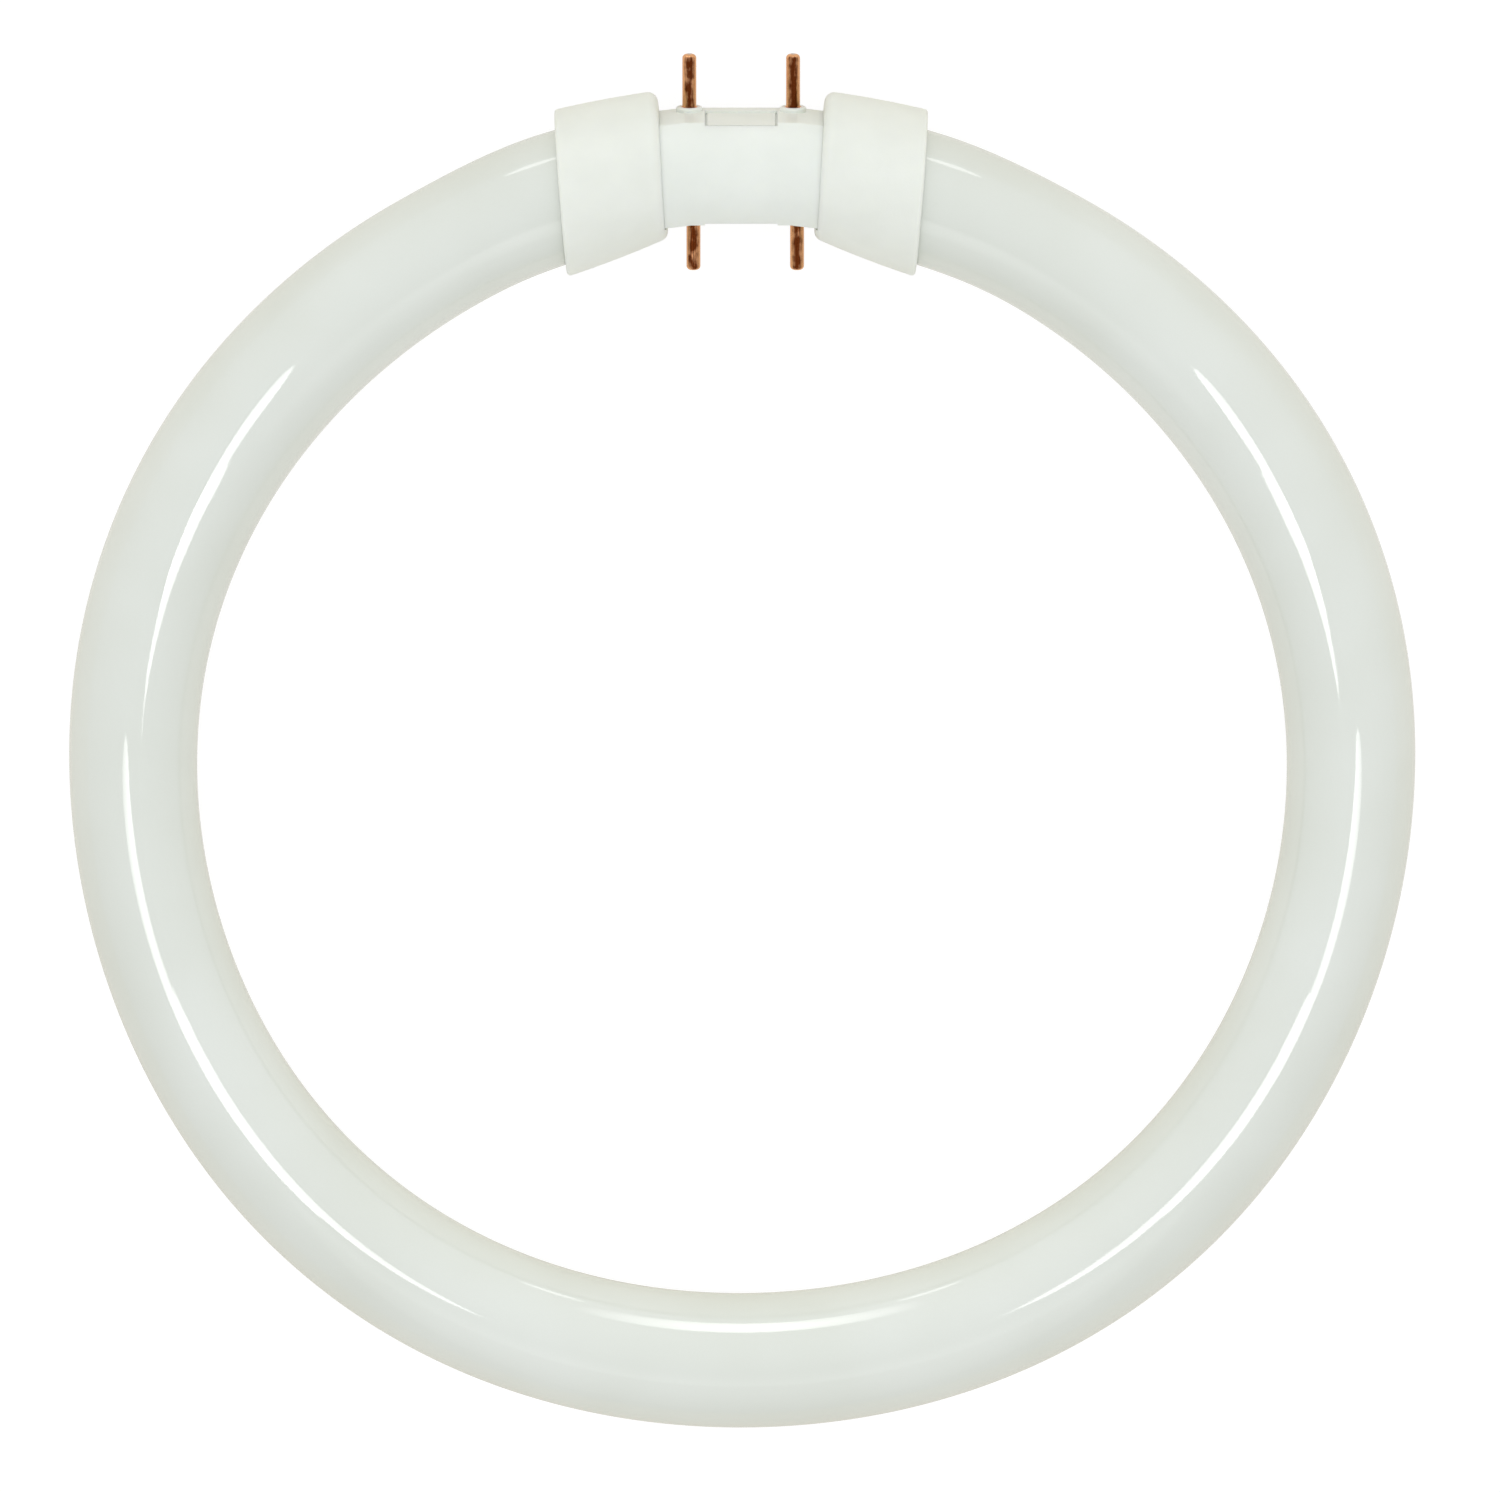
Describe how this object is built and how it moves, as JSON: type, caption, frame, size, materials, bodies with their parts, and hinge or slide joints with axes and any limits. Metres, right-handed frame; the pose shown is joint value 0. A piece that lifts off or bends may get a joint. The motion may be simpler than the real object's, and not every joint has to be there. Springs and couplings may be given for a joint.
{
  "type": "circular fluorescent tube",
  "caption": "Ring of white-coated glass tube whose ends meet in tapered collars on a small barrel base with contact pins facing out and in; lights a round fixture.",
  "frame": {"origin": "centre of the tube's ring, in the ring's plane", "axes": "+Z square to the ring's plane, towards the base's deep shell; +Y from the ring's centre to the base; +X to the right"},
  "size_m": [0.3, 0.3105, 0.0362],
  "materials": {
    "coated_glass": "gloss",
    "white_plastic": "satin",
    "pin_copper": "satin",
    "lead_metal": "satin"
  },
  "bodies": {
    "root": {"glass_tube": "coated_glass", "collar_left": "white_plastic", "collar_right": "white_plastic", "base_front_shell": "white_plastic", "base_rear_cover": "white_plastic", "contact_pin_outer_left": "pin_copper", "contact_pin_outer_right": "pin_copper", "contact_pin_inner_left": "pin_copper", "contact_pin_inner_right": "pin_copper", "lead_wire_outer_left": "lead_metal", "lead_wire_outer_right": "lead_metal", "lead_wire_inner_left": "lead_metal", "lead_wire_inner_right": "lead_metal"}
  },
  "joints": []
}
